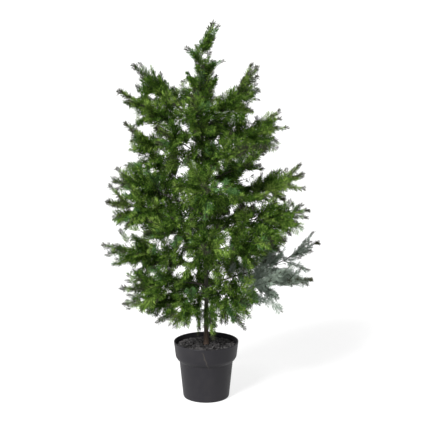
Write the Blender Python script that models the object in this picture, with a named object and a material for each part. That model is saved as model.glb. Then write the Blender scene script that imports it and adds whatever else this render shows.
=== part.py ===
# Artificial cedar in a nursery pot. One slender leaning trunk stands in the weighted
# fill of a tapered black pot. Boughs leave it all round and end where their foliage
# begins; each mass of foliage is one stem with toothed needle sprays fused to it.
# Metres, +Z up, origin at the middle of the pot's flat underside, front towards -Y.
import math
import random

import bmesh
import bpy
import numpy as np

# Pot
POT_HEIGHT = 0.143
RIM_RADIUS = 0.0800
RIM_CHAMFER = 0.0030
RIM_THICKNESS = 0.0026
BAND_HEIGHT = 0.0370
BAND_FOOT_RADIUS = 0.0757
SHOULDER_DROP = 0.0120
BODY_TOP_RADIUS = 0.0665
BASE_RADIUS = 0.0573
BASE_EDGE = 0.0040
POT_WALL = 0.0018
POT_FLOOR = 0.0030
POT_SEGMENTS = 36

# Fill, a weighted block with a low rough mound of chips on top
CLEARANCE = 0.0003
FILL_EDGE_HEIGHT = 0.1300
FILL_TOP_HEIGHT = 0.1345
FILL_FLAT_RADIUS = 0.0110
FILL_ROUGHNESS = 0.0012
FILL_SEED = 5

# Trunk
TRUNK_FOOT = FILL_TOP_HEIGHT + CLEARANCE
TRUNK_TOP = 0.800
TRUNK_FOOT_RADIUS = 0.0064
TRUNK_TOP_RADIUS = 0.0021
TRUNK_FLARE = 0.0016
TRUNK_FLARE_HEIGHT = 0.012
TRUNK_LEAN = -0.0155
TRUNK_SWAY = 0.0016
TRUNK_RINGS = 17
TRUNK_SIDES = 8

# Boughs and stems
BOUGH_RADIUS_LOW = 0.0024
BOUGH_RADIUS_HIGH = 0.0017
BOUGH_END_RADIUS = 0.0016
STEM_TIP_RADIUS = 0.0011
BOUGH_SIDES = 6
STEM_SIDES = 3
STEM_STRETCHES = 5
ROOT_RISE_LOW = 14.0
ROOT_RISE_HIGH = 50.0

# Needle sprays
SPRAY_LONGEST = 0.132
SPRAY_SHARE_INNER = 0.50
SPRAY_SHARE_OUTER = 0.30
SPRAY_SPACING = 0.0184
SPRAY_TRIES = 200
SPRAY_APART = 0.11
TERMINAL_ROLL = 50.0
FLATTEST_ROLL = 25.0
TERMINAL = 0.085
SPRAY_THICKNESS = 0.014
FORK_INNER = 68.0
FORK_OUTER = 38.0
TOOTH_PAIRS = 3
FIRST_TOOTH = 0.20
TWIG_FORK = 38.0
TWIG_SHARE = 0.36
HALF_SPINE = 0.0036
ROOT_HALF = 0.0007
SHORTER = (1.0, 0.8, 0.64)
SPACE_MARGIN = 0.0016
WOOD_MARGIN = 0.0075
LOWEST_NEEDLE = POT_HEIGHT + 0.005

# Limbs: name, height on the trunk, azimuth from +X, reach from the trunk, height of
# the tip, rise of the tip in degrees, bare share (0 grows from the trunk), seed
LIMBS = (
    ("leader", TRUNK_TOP, 0, 0.034, 0.922, 68, 0.0, 7),
    ("top_left", 0.672, 165, 0.160, 0.825, 52, 0.0, 19),
    ("top_right", 0.668, 350, 0.130, 0.826, 68, 0.0, 18),
    ("top_back", 0.705, 100, 0.130, 0.800, 50, 0.0, 33),
    ("top_front", 0.655, 262, 0.125, 0.765, 45, 0.0, 6),
    ("upper_left", 0.632, 195, 0.195, 0.766, 33, 0.20, 19),
    ("upper_right", 0.590, 10, 0.203, 0.702, 36, 0.20, 19),
    ("upper_back", 0.585, 70, 0.205, 0.690, 35, 0.20, 13),
    ("upper_front_left", 0.600, 232, 0.165, 0.690, 30, 0.0, 24),
    ("upper_front_right", 0.565, 304, 0.185, 0.650, 25, 0.0, 11),
    ("left_shoulder", 0.560, 178, 0.177, 0.689, 52, 0.20, 6),
    ("left_back_shoulder", 0.500, 145, 0.228, 0.575, 6, 0.20, 28),
    ("right_shoulder", 0.462, 5, 0.240, 0.566, 36, 0.20, 1),
    ("right_notch", 0.535, 335, 0.150, 0.580, -10, 0.0, 10),
    ("front_shoulder", 0.500, 272, 0.225, 0.568, 15, 0.15, 3),
    ("back_shoulder", 0.490, 52, 0.232, 0.540, 20, 0.20, 19),
    ("left", 0.462, 190, 0.234, 0.544, -4, 0.20, 34),
    ("left_middle", 0.420, 206, 0.250, 0.505, 4, 0.20, 20),
    ("right_middle", 0.405, 355, 0.251, 0.470, 2, 0.20, 5),
    ("right_front", 0.365, 325, 0.228, 0.431, 18, 0.20, 28),
    ("front_left", 0.395, 236, 0.242, 0.455, 8, 0.15, 35),
    ("front", 0.360, 270, 0.240, 0.420, 0, 0.15, 28),
    ("back_left", 0.375, 138, 0.240, 0.420, -6, 0.20, 9),
    ("back", 0.400, 92, 0.250, 0.450, 8, 0.20, 18),
    ("left_low", 0.325, 183, 0.249, 0.383, 4, 0.20, 12),
    ("right_low", 0.282, 14, 0.277, 0.393, 54, 0.20, 19),
    ("back_low", 0.310, 62, 0.240, 0.335, 6, 0.20, 15),
    ("left_skirt", 0.285, 200, 0.214, 0.308, 26, 0.20, 19),
    ("right_skirt", 0.256, 350, 0.257, 0.312, 14, 0.20, 33),
    ("left_back_skirt", 0.262, 165, 0.214, 0.222, -14, 0.0, 40),
    ("back_skirt", 0.268, 108, 0.205, 0.250, -10, 0.0, 1),
    ("front_left_skirt", 0.250, 228, 0.170, 0.221, -24, 0.0, 19),
    ("front_right_skirt", 0.272, 306, 0.208, 0.270, 0, 0.0, 16),
    ("hanging_right", 0.240, 28, 0.102, 0.152, -72, 0.0, 39),
    ("hanging_front", 0.232, 285, 0.060, 0.168, -60, 0.0, 1),
)

# Colours, linear, then roughness
GREENS = {
    "deep": (0.030, 0.052, 0.013),
    "mid": (0.042, 0.068, 0.019),
    "bright": (0.062, 0.098, 0.027),
    "grey": (0.105, 0.130, 0.098),
}
NEEDLE_ROUGHNESS = 0.52
BARK = ((0.062, 0.052, 0.036), 0.80)
TWIG_BARK = ((0.060, 0.058, 0.038), 0.75)
POT_BLACK = ((0.034, 0.033, 0.037), 0.48)
CHIPS = ((0.026, 0.024, 0.022), 0.92)


def heading(azimuth, rise):
    # Unit vector from an azimuth and a rise above level, in degrees
    a = math.radians(azimuth)
    r = math.radians(rise)
    return np.array([math.cos(a) * math.cos(r), math.sin(a) * math.cos(r), math.sin(r)])


def unit(v):
    return v / np.linalg.norm(v)


def mix(a, b, t):
    return a + (b - a) * t


# Growth

def trunk_share(z):
    return (z - TRUNK_FOOT) / (TRUNK_TOP - TRUNK_FOOT)


def trunk_centre(z):
    # The trunk leans more the higher it gets, and sways a little on the way
    t = trunk_share(z)
    sway = TRUNK_SWAY * math.sin(2.2 * math.pi * t)
    return np.array([TRUNK_LEAN * t * t + sway * t * (1 - t) * 4, sway * 0.8, z])


def trunk_radius(z):
    flare = TRUNK_FLARE * math.exp(-(z - TRUNK_FOOT) / TRUNK_FLARE_HEIGHT)
    return mix(TRUNK_FOOT_RADIUS, TRUNK_TOP_RADIUS, trunk_share(z)) + flare


def limb_axis(root_height, azimuth, reach, tip_height, tip_rise, samples=33):
    # Bezier from the trunk's surface to the tip
    centre = trunk_centre(root_height)
    tip = trunk_centre(min(tip_height, TRUNK_TOP)) + reach * heading(azimuth, 0)
    tip[2] = tip_height
    if root_height >= TRUNK_TOP:
        start = centre + np.array([0, 0, CLEARANCE])
        leaving = np.array([0.0, 0.0, 1.0])
    else:
        start = centre + (trunk_radius(root_height) + CLEARANCE) * heading(azimuth, 0)
        root_rise = mix(ROOT_RISE_LOW, ROOT_RISE_HIGH, trunk_share(root_height))
        if tip_height < root_height:
            root_rise = 8.0
        leaving = heading(azimuth, root_rise)
    arm = 0.36 * np.linalg.norm(tip - start)
    second = start + arm * leaving
    third = tip - arm * heading(azimuth, tip_rise)
    t = np.linspace(0, 1, samples)[:, None]
    s = 1 - t
    return s**3 * start + 3 * s * s * t * second + 3 * s * t * t * third + t**3 * tip


def along_axis(axis, share):
    # Point and direction at a share of the axis's length
    steps = np.linalg.norm(np.diff(axis, axis=0), axis=1)
    far = np.concatenate([[0], np.cumsum(steps)])
    want = share * far[-1]
    i = min(max(int(np.searchsorted(far, want)) - 1, 0), len(steps) - 1)
    t = (want - far[i]) / steps[i]
    return mix(axis[i], axis[i + 1], t), unit(axis[i + 1] - axis[i])


def axis_length(axis):
    return float(np.linalg.norm(np.diff(axis, axis=0), axis=1).sum())


def spray_frame(along, roll):
    # Sideways and facing vectors of a flat spray turned about its own line
    level = np.cross(along, (0, 0, 1.0))
    if np.linalg.norm(level) < 0.2:
        level = np.cross(along, (0, 1.0, 0))
    level = unit(level)
    over = np.cross(level, along)
    side = level * math.cos(roll) + over * math.sin(roll)
    return side, np.cross(side, along)


def spray_shape(root, along, roll, length, bend):
    # Ridge, notches and tooth tips of a spray: teeth fork forward off the spine
    side, face = spray_frame(along, roll)

    def place(x, y, h):
        lift = bend * length * (y / length) ** 2 + h
        return root + side * x + along * y + face * lift

    fork = math.radians(TWIG_FORK)
    shape = {"tip": place(0, length, 0), "root": [place(0, 0, ROOT_HALF), place(0, 0, -ROOT_HALF)]}
    shape.update(ridge=[], notch=[], tooth=[])
    for i in range(TOOTH_PAIRS):
        foot = length * mix(FIRST_TOOTH, 0.72, i / (TOOTH_PAIRS - 0.5))
        notch = length * mix(FIRST_TOOTH, 0.72, (i + 0.62) / (TOOTH_PAIRS - 0.5))
        twig = length * TWIG_SHARE * (1 - 0.42 * i / TOOTH_PAIRS)
        across = twig * math.sin(fork) + HALF_SPINE
        forward = foot + twig * math.cos(fork)
        thick = SPRAY_THICKNESS * length
        shape["ridge"].append(place(0, notch, thick))
        shape["notch"].append([place(-HALF_SPINE, notch, 0), place(HALF_SPINE, notch, 0)])
        shape["tooth"].append([place(-across, forward, 0), place(across, forward, 0)])
    return shape


def shape_points(shape):
    points = [shape["tip"]] + shape["ridge"]
    for pair in shape["notch"] + shape["tooth"]:
        points += pair
    for notch, tooth in zip(shape["notch"], shape["tooth"]):
        points += [mix(notch[0], tooth[0], 0.5), mix(notch[1], tooth[1], 0.5)]
    return np.array(points)


class Crown:
    # The line of every limb, and which space is whose: a point belongs to the stem
    # that it is nearest to, and keeps clear of the trunk and of the bare boughs

    def __init__(self):
        self.axes = {name: limb_axis(*numbers[:5]) for name, *numbers in LIMBS}
        stems = []
        owners = []
        bare_wood = [trunk_centre(z) for z in np.arange(TRUNK_FOOT, TRUNK_TOP, 0.004)]
        for index, (name, *_, bare, _seed) in enumerate(LIMBS):
            axis = self.axes[name]
            for share in np.arange(0, bare, 0.012):
                bare_wood.append(along_axis(axis, share)[0])
            for share in np.linspace(bare, 1, 30):
                stems.append(along_axis(axis, share)[0])
                owners.append(index)
        self.stems = np.array(stems)
        self.owners = np.array(owners)
        self.wood = np.array(bare_wood)

    def holds(self, points, owner):
        if points[:, 2].min() < LOWEST_NEEDLE:
            return False
        wood = np.linalg.norm(points[:, None] - self.wood[None], axis=2)
        if wood.min() < WOOD_MARGIN and owner > 0:
            return False
        far = np.linalg.norm(points[:, None] - self.stems[None], axis=2)
        own = far[:, self.owners == owner].min(axis=1)
        other = far[:, self.owners != owner].min(axis=1)
        return bool(np.all(other > own + 2 * SPACE_MARGIN))


def limb_sprays(crown, owner):
    # Sprays of one mass at random round its stem, each kept only where it fits the
    # mass's own space and stands apart from its sisters, and the stem's end share
    name, *_, bare, seed = LIMBS[owner]
    axis = crown.axes[name]
    rng = random.Random(seed)
    reach = axis_length(axis)
    end_share = 1 - min(TERMINAL, 0.42 * reach * (1 - bare)) / reach
    stem = np.array([along_axis(axis, mix(bare, end_share, k / STEM_STRETCHES))[0]
                     for k in range(STEM_STRETCHES + 1)])
    wanted = round(axis_length(stem) / SPRAY_SPACING) + 2
    root, ahead = stem[-1], along_axis(axis, end_share)[1]
    sprays = [(root, ahead, math.radians(TERMINAL_ROLL), reach * (1 - end_share), 0.0)]
    taken = shape_points(spray_shape(*sprays[0]))
    for _ in range(SPRAY_TRIES):
        share = rng.random()
        turn = rng.uniform(0, 360)
        fork = math.radians(mix(FORK_INNER, FORK_OUTER, share) + rng.uniform(-7, 7))
        length = reach * mix(SPRAY_SHARE_INNER, SPRAY_SHARE_OUTER, share)
        length = min(length, SPRAY_LONGEST) * rng.uniform(0.85, 1.12)
        roll = math.radians(rng.uniform(FLATTEST_ROLL, 180 - FLATTEST_ROLL))
        bend = rng.uniform(-0.10, 0.10)
        root, ahead = along_axis(stem, mix(0.06, 0.98, share))
        side, face = spray_frame(ahead, math.radians(turn))
        along = unit(ahead * math.cos(fork) + side * math.sin(fork))
        for shorter in SHORTER:
            size = length * shorter
            points = shape_points(spray_shape(root, along, roll, size, bend))
            apart = np.linalg.norm(points[:, None] - taken[None], axis=2).min()
            if apart > SPRAY_APART * size and crown.holds(points, owner):
                sprays.append((root, along, roll, size, bend))
                taken = np.concatenate([taken, points])
                break
        if len(sprays) == wanted:
            break
    return sprays, end_share


# Solids

def new_object(name, verts, faces):
    mesh = bpy.data.meshes.new(name)
    mesh.from_pydata([tuple(v) for v in verts], [], faces)
    bm = bmesh.new()
    bm.from_mesh(mesh)
    bmesh.ops.recalc_face_normals(bm, faces=bm.faces)
    bm.to_mesh(mesh)
    bm.free()
    made = bpy.data.objects.new(name, mesh)
    bpy.context.scene.collection.objects.link(made)
    return made


def paint(made, name, colour, roughness):
    material = bpy.data.materials.new(name)
    material.use_nodes = True
    shader = material.node_tree.nodes["Principled BSDF"]
    shader.inputs["Base Color"].default_value = (*colour, 1.0)
    shader.inputs["Roughness"].default_value = roughness
    shader.inputs["Metallic"].default_value = 0.0
    made.data.materials.clear()
    made.data.materials.append(material)


def lathe(name, profile, segments, lift=None):
    # Turned solid from (radius, height) pairs, closed at both ends on the axis
    verts = []
    faces = []
    for row, (radius, height) in enumerate(profile):
        for k in range(segments):
            a = 2 * math.pi * k / segments
            z = height + (lift(row, k) if lift else 0.0)
            verts.append((radius * math.cos(a), radius * math.sin(a), z))
    for row in range(len(profile) - 1):
        for k in range(segments):
            a, b = row * segments + k, row * segments + (k + 1) % segments
            faces.append((a, b, b + segments, a + segments))
    faces.append(tuple(range(segments)))
    faces.append(tuple(range(len(verts) - segments, len(verts))))
    return new_object(name, verts, faces)


def tube(name, centres, radii, normals, sides):
    # Limb through rings, each square to its own normal and untwisted from the last
    verts = []
    faces = []
    side = spray_frame(normals[0], 0.0)[0]
    for centre, radius, normal in zip(centres, radii, normals):
        side = unit(side - normal * np.dot(side, normal))
        face = np.cross(side, normal)
        for k in range(sides):
            a = 2 * math.pi * (k + 0.5) / sides
            verts.append(centre + radius * (side * math.cos(a) + face * math.sin(a)))
    for row in range(len(centres) - 1):
        for k in range(sides):
            a, b = row * sides + k, row * sides + (k + 1) % sides
            faces.append((a, b, b + sides, a + sides))
    faces.append(tuple(range(sides)))
    faces.append(tuple(range(len(verts) - sides, len(verts))))
    return new_object(name, verts, faces)


def limb_tube(name, axis, azimuth, shares, radii, sides):
    # Stretch of a limb; one that starts at the trunk starts with a ring facing it
    centres = []
    normals = []
    for share in shares:
        point, ahead = along_axis(axis, share)
        if share == 0 and azimuth is not None:
            ahead = heading(azimuth, 0)
        centres.append(point)
        normals.append(ahead)
    return tube(name, centres, radii, normals, sides)


def spray_blade(name, shape):
    # Toothed blade: flat below, ridged above, with an upright edge as its root
    verts = [shape["tip"], *shape["root"]]
    low, low_left, low_right = 1, 2, 2
    faces = []
    for ridge_point, notch, tooth in zip(shape["ridge"], shape["notch"], shape["tooth"]):
        at = len(verts)
        verts += [ridge_point, *notch, *tooth]
        ridge, left, right, tip_left, tip_right = range(at, at + 5)
        faces += [(low_left, tip_left, low), (tip_left, ridge, low), (tip_left, left, ridge)]
        faces += [(tip_right, low_right, low), (ridge, tip_right, low), (right, tip_right, ridge)]
        faces += [(low_left, left, tip_left), (low_right, tip_right, right), (low_left, right, left)]
        if low_left != low_right:
            faces.append((low_left, low_right, right))
        low, low_left, low_right = ridge, left, right
    faces += [(low_left, 0, low), (0, low_right, low), (low_left, low_right, 0)]
    return new_object(name, verts, faces)


def fuse(stem, blades):
    # One union joins the blades to their stem; loose scraps are dropped
    others = bpy.data.collections.new(stem.name + "_blades")
    bpy.context.scene.collection.children.link(others)
    for blade in blades:
        others.objects.link(blade)
    join = stem.modifiers.new("join", "BOOLEAN")
    join.operation = "UNION"
    join.operand_type = "COLLECTION"
    join.collection = others
    join.solver = "EXACT"
    graph = bpy.context.evaluated_depsgraph_get()
    fused = bpy.data.meshes.new_from_object(stem.evaluated_get(graph))
    stem.modifiers.clear()
    stem.data = fused
    for blade in blades:
        bpy.data.objects.remove(blade, do_unlink=True)
    bpy.data.collections.remove(others)
    bm = bmesh.new()
    bm.from_mesh(fused)
    bmesh.ops.remove_doubles(bm, verts=bm.verts, dist=0.000001)
    bmesh.ops.triangulate(bm, faces=bm.faces)
    drop_scraps(bm)
    bmesh.ops.recalc_face_normals(bm, faces=bm.faces)
    bm.to_mesh(fused)
    bm.free()
    return stem


def drop_scraps(bm):
    # Keep the largest connected piece only
    left = set(bm.verts)
    islands = []
    while left:
        island = {left.pop()}
        edge_of = list(island)
        while edge_of:
            for edge in edge_of.pop().link_edges:
                for vert in edge.verts:
                    if vert in left:
                        left.remove(vert)
                        island.add(vert)
                        edge_of.append(vert)
        islands.append(island)
    islands.sort(key=len)
    for island in islands[:-1]:
        bmesh.ops.delete(bm, geom=list(island), context="VERTS")


# Pieces

def build_pot():
    band_foot = POT_HEIGHT - BAND_HEIGHT
    body_top = band_foot - SHOULDER_DROP
    outside = [
        (BASE_RADIUS - BASE_EDGE, 0.0),
        (BASE_RADIUS, BASE_EDGE),
        (BODY_TOP_RADIUS, body_top),
        (mix(BODY_TOP_RADIUS, BAND_FOOT_RADIUS, 0.55), body_top + 0.36 * SHOULDER_DROP),
        (BAND_FOOT_RADIUS, band_foot),
        (RIM_RADIUS, POT_HEIGHT - RIM_CHAMFER),
        (RIM_RADIUS - 0.0006, POT_HEIGHT),
    ]
    inside = [
        (RIM_RADIUS - RIM_THICKNESS, POT_HEIGHT),
        (BAND_FOOT_RADIUS - POT_WALL, band_foot),
        (BODY_TOP_RADIUS - POT_WALL, body_top),
        (BASE_RADIUS - POT_WALL, POT_FLOOR),
    ]
    pot = lathe("pot", outside + inside, POT_SEGMENTS)
    pot.data.shade_smooth()
    pot.data.set_sharp_from_angle(angle=math.radians(24))
    paint(pot, "pot_black", *POT_BLACK)


def inside_radius(z):
    # Radius of the pot's inner face at a height
    band_foot = POT_HEIGHT - BAND_HEIGHT
    body_top = band_foot - SHOULDER_DROP
    heights = (POT_FLOOR, body_top, band_foot, POT_HEIGHT)
    radii = (BASE_RADIUS - POT_WALL, BODY_TOP_RADIUS - POT_WALL,
             BAND_FOOT_RADIUS - POT_WALL, RIM_RADIUS - RIM_THICKNESS)
    return float(np.interp(z, heights, radii))


def build_fill():
    band_foot = POT_HEIGHT - BAND_HEIGHT
    body_top = band_foot - SHOULDER_DROP
    clear = 1.6 * CLEARANCE
    floor = POT_FLOOR + CLEARANCE
    edge = inside_radius(FILL_EDGE_HEIGHT) - clear
    profile = [
        (inside_radius(floor) - clear, floor),
        (inside_radius(body_top) - clear, body_top - CLEARANCE),
        (inside_radius(band_foot) - clear, band_foot),
        (edge, FILL_EDGE_HEIGHT),
        (0.80 * edge, mix(FILL_EDGE_HEIGHT, FILL_TOP_HEIGHT, 0.45)),
        (0.52 * edge, mix(FILL_EDGE_HEIGHT, FILL_TOP_HEIGHT, 0.80)),
        (FILL_FLAT_RADIUS, FILL_TOP_HEIGHT),
    ]
    rng = random.Random(FILL_SEED)

    def lift(row, k):
        rough = rng.uniform(-FILL_ROUGHNESS, FILL_ROUGHNESS)
        return rough if row in (4, 5) else 0.0

    fill = lathe("pot_fill", profile, POT_SEGMENTS, lift)
    paint(fill, "fill_chips", *CHIPS)


def build_trunk():
    heights = [mix(TRUNK_FOOT, TRUNK_TOP, (k / TRUNK_RINGS) ** 1.15) for k in range(TRUNK_RINGS + 1)]
    centres = [trunk_centre(z) for z in heights]
    radii = [trunk_radius(z) for z in heights]
    normals = [np.array([0.0, 0.0, 1.0])] * len(heights)
    trunk = tube("trunk", centres, radii, normals, TRUNK_SIDES)
    trunk.data.shade_smooth()
    trunk.data.set_sharp_from_angle(angle=math.radians(60))
    paint(trunk, "trunk_bark", *BARK)


def build_bough(name, axis, azimuth, bare, root_height):
    start = mix(BOUGH_RADIUS_LOW, BOUGH_RADIUS_HIGH, trunk_share(root_height))
    shares = [bare * k / 3 for k in range(4)]
    radii = [mix(start, BOUGH_END_RADIUS, k / 3) for k in range(4)]
    bough = limb_tube("bough_" + name, axis, azimuth, shares, radii, BOUGH_SIDES)
    bough.data.shade_smooth()
    bough.data.set_sharp_from_angle(angle=math.radians(62))
    paint(bough, "bark_" + name, *TWIG_BARK)


def foliage_colour(name):
    # The low right side is dusty grey, the top and outer right are the brightest
    if name in ("right_low", "right_skirt"):
        return GREENS["grey"]
    if name in ("top_right", "right_shoulder", "upper_right", "upper_left"):
        return GREENS["bright"]
    if "back" in name or "notch" in name:
        return GREENS["deep"]
    return GREENS["mid"]


def build_foliage(crown, owner):
    name, _, azimuth, *_, bare, _seed = LIMBS[owner]
    axis = crown.axes[name]
    sprays, end_share = limb_sprays(crown, owner)
    facing = None if name == "leader" or bare else azimuth
    steps = [k / STEM_STRETCHES for k in range(STEM_STRETCHES + 1)]
    shares = [mix(bare, end_share, step) for step in steps]
    shares[0] += CLEARANCE / axis_length(axis) if bare else 0.0
    shares[-1] += 0.003 / axis_length(axis)
    radii = [mix(BOUGH_END_RADIUS, STEM_TIP_RADIUS, step) for step in steps]
    stem = limb_tube("foliage_" + name, axis, facing, shares, radii, STEM_SIDES)
    blades = []
    for k, spray in enumerate(sprays):
        blades.append(spray_blade(f"blade_{name}_{k}", spray_shape(*spray)))
    foliage = fuse(stem, blades)
    paint(foliage, "needles_" + name, foliage_colour(name), NEEDLE_ROUGHNESS)


def main():
    for old in list(bpy.data.objects):
        bpy.data.objects.remove(old, do_unlink=True)
    build_pot()
    build_fill()
    build_trunk()
    crown = Crown()
    for owner, (name, root_height, azimuth, *_, bare, _seed) in enumerate(LIMBS):
        if bare:
            build_bough(name, crown.axes[name], azimuth, bare, root_height)
        build_foliage(crown, owner)


main()
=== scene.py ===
import math
import random

import bmesh
import bpy
import numpy as np
from mathutils import Matrix, Vector, noise


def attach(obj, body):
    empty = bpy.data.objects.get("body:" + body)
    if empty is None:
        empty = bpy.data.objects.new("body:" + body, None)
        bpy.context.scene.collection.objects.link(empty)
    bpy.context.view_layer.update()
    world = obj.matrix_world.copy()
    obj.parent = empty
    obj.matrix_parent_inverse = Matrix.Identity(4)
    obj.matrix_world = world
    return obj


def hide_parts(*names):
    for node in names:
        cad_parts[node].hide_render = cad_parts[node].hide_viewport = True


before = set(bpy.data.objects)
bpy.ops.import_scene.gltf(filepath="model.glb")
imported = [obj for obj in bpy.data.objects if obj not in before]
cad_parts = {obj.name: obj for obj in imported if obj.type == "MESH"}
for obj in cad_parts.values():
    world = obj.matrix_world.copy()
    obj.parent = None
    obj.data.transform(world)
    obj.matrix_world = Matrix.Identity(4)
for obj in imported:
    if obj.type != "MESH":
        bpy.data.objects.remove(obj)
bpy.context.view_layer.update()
print("frame loaded")


def mix(a, b, t):
    return a + (b - a) * t


def unit(v):
    return v / np.linalg.norm(v)


def units(rows):
    return rows / np.linalg.norm(rows, axis=1)[:, None]


def heading(azimuth, rise):  # unit vector, both in degrees
    a = math.radians(azimuth)
    r = math.radians(rise)
    return np.array([math.cos(a) * math.cos(r), math.sin(a) * math.cos(r), math.sin(r)])


def put(name, data):
    made = bpy.data.objects.new(name, data)
    bpy.context.scene.collection.objects.link(made)
    return made


goldenAngle = 137.5         # degrees between one and the next around a stem

# The line of the trunk and of every limb

trunk = {
    "foot": 0.1345 + 0.0003,
    "top": 0.800,
    "footRadius": 0.0064,
    "topRadius": 0.0021,
    "flare": 0.0016,
    "flareHeight": 0.012,
    "lean": -0.0155,
    "sway": 0.0016,
    "swayTurns": 2.2,
    "swayAside": 0.8,
    "gap": 0.0003,
    "bare": 0.88,           # of the solid's radius
    "rings": 300,
    "sides": 40,
    "furrow": 0.00042,      # depth of the relief: long furrows, flakes and knuckles
    "flake": 0.00016,
    "knuckle": 0.00028,
}

# name, height on the trunk, azimuth, reach, height of the tip, rise of the tip, bare share, seed
limbs = (
    ("leader", trunk["top"], 0, 0.034, 0.922, 68, 0.0, 7),
    ("top_left", 0.672, 165, 0.160, 0.825, 52, 0.0, 19),
    ("top_right", 0.668, 350, 0.130, 0.826, 68, 0.0, 18),
    ("top_back", 0.705, 100, 0.130, 0.800, 50, 0.0, 33),
    ("top_front", 0.655, 262, 0.125, 0.765, 45, 0.0, 6),
    ("upper_left", 0.632, 195, 0.195, 0.766, 33, 0.20, 19),
    ("upper_right", 0.590, 10, 0.203, 0.702, 36, 0.20, 19),
    ("upper_back", 0.585, 70, 0.205, 0.690, 35, 0.20, 13),
    ("upper_front_left", 0.600, 232, 0.165, 0.690, 30, 0.0, 24),
    ("upper_front_right", 0.565, 304, 0.185, 0.650, 25, 0.0, 11),
    ("left_shoulder", 0.560, 178, 0.177, 0.689, 52, 0.20, 6),
    ("left_back_shoulder", 0.500, 145, 0.228, 0.575, 6, 0.20, 28),
    ("right_shoulder", 0.462, 5, 0.240, 0.566, 36, 0.20, 1),
    ("right_notch", 0.535, 335, 0.150, 0.580, -10, 0.0, 10),
    ("front_shoulder", 0.500, 272, 0.225, 0.568, 15, 0.15, 3),
    ("back_shoulder", 0.490, 52, 0.232, 0.540, 20, 0.20, 19),
    ("left", 0.462, 190, 0.234, 0.544, -4, 0.20, 34),
    ("left_middle", 0.420, 206, 0.250, 0.505, 4, 0.20, 20),
    ("right_middle", 0.405, 355, 0.251, 0.470, 2, 0.20, 5),
    ("right_front", 0.365, 325, 0.228, 0.431, 18, 0.20, 28),
    ("front_left", 0.395, 236, 0.242, 0.455, 8, 0.15, 35),
    ("front", 0.360, 270, 0.240, 0.420, 0, 0.15, 28),
    ("back_left", 0.375, 138, 0.240, 0.420, -6, 0.20, 9),
    ("back", 0.400, 92, 0.250, 0.450, 8, 0.20, 18),
    ("left_low", 0.325, 183, 0.249, 0.383, 4, 0.20, 12),
    ("right_low", 0.282, 14, 0.277, 0.393, 54, 0.20, 19),
    ("back_low", 0.310, 62, 0.240, 0.335, 6, 0.20, 15),
    ("left_skirt", 0.285, 200, 0.214, 0.308, 26, 0.20, 19),
    ("right_skirt", 0.256, 350, 0.257, 0.312, 14, 0.20, 33),
    ("left_back_skirt", 0.262, 165, 0.214, 0.222, -14, 0.0, 40),
    ("back_skirt", 0.268, 108, 0.205, 0.250, -10, 0.0, 1),
    ("front_left_skirt", 0.250, 228, 0.170, 0.221, -24, 0.0, 19),
    ("front_right_skirt", 0.272, 306, 0.208, 0.270, 0, 0.0, 16),
    ("hanging_right", 0.240, 28, 0.102, 0.152, -72, 0.0, 39),
    ("hanging_front", 0.232, 285, 0.060, 0.168, -60, 0.0, 1),
)

boughs = {
    "radius": (0.0024, 0.0017),     # low and high on the trunk
    "stemRadius": (0.0016, 0.0011),
    "collar": 0.0011,
    "rootRise": (14.0, 50.0),
    "rootRiseDrooping": 8.0,
    "arm": 0.36,            # of the way from root to tip, how far each end's direction holds
    "stretches": 5,
    "sides": 10,
    "step": 0.0042,         # between rings
    "sunk": 0.0022,         # into the trunk
    "pastEnd": 0.003,
    "collarReach": 0.0035,
    "relief": 0.00022,
}

sprays = {
    "longest": 0.132,
    "shares": (0.50, 0.30),     # of the limb's reach, at the stem's foot and at its end
    "spacing": 0.0184,
    "tries": 200,
    "apart": 0.11,
    "lengths": (0.85, 1.12),
    "feet": (0.06, 0.98),   # share of the stem that bears sprays
    "bends": (-0.10, 0.10),
    "terminalRoll": 50.0,
    "flattestRoll": 25.0,
    "terminal": 0.085,
    "terminalShare": 0.42,
    "thickness": 0.014,
    "forks": (68.0, 38.0),
    "forkSpread": (-7, 7),
    "toothPairs": 3,
    "teeth": (0.20, 0.72),
    "notch": 0.62,          # of the way from one tooth to the next
    "twigFork": 38.0,
    "twigShare": 0.36,
    "twigTaper": 0.42,
    "halfSpine": 0.0036,
    "shorter": (1.0, 0.8, 0.64),
    "spaceMargin": 0.0016,
    "woodMargin": 0.0075,
    "lowest": 0.143 + 0.005,
}


def trunkShare(z):
    return (z - trunk["foot"]) / (trunk["top"] - trunk["foot"])


def trunkCentre(z):
    t = trunkShare(z)
    sway = trunk["sway"] * math.sin(trunk["swayTurns"] * math.pi * t)
    x = trunk["lean"] * t * t + sway * t * (1 - t) * 4
    return np.array([x, sway * trunk["swayAside"], z])


def trunkRadius(z):
    flare = trunk["flare"] * math.exp(-(z - trunk["foot"]) / trunk["flareHeight"])
    return mix(trunk["footRadius"], trunk["topRadius"], trunkShare(z)) + flare


def limbAxis(rootHeight, azimuth, reach, tipHeight, tipRise, samples=33):
    centre = trunkCentre(rootHeight)
    tip = trunkCentre(min(tipHeight, trunk["top"])) + reach * heading(azimuth, 0)
    tip[2] = tipHeight
    if rootHeight >= trunk["top"]:
        start = centre + np.array([0, 0, trunk["gap"]])
        leaving = np.array([0.0, 0.0, 1.0])
    else:
        start = centre + (trunkRadius(rootHeight) + trunk["gap"]) * heading(azimuth, 0)
        rootRise = mix(*boughs["rootRise"], trunkShare(rootHeight))
        if tipHeight < rootHeight:
            rootRise = boughs["rootRiseDrooping"]
        leaving = heading(azimuth, rootRise)
    arm = boughs["arm"] * np.linalg.norm(tip - start)
    second = start + arm * leaving
    third = tip - arm * heading(azimuth, tipRise)
    t = np.linspace(0, 1, samples)[:, None]
    s = 1 - t
    return s**3 * start + 3 * s * s * t * second + 3 * s * t * t * third + t**3 * tip


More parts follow.
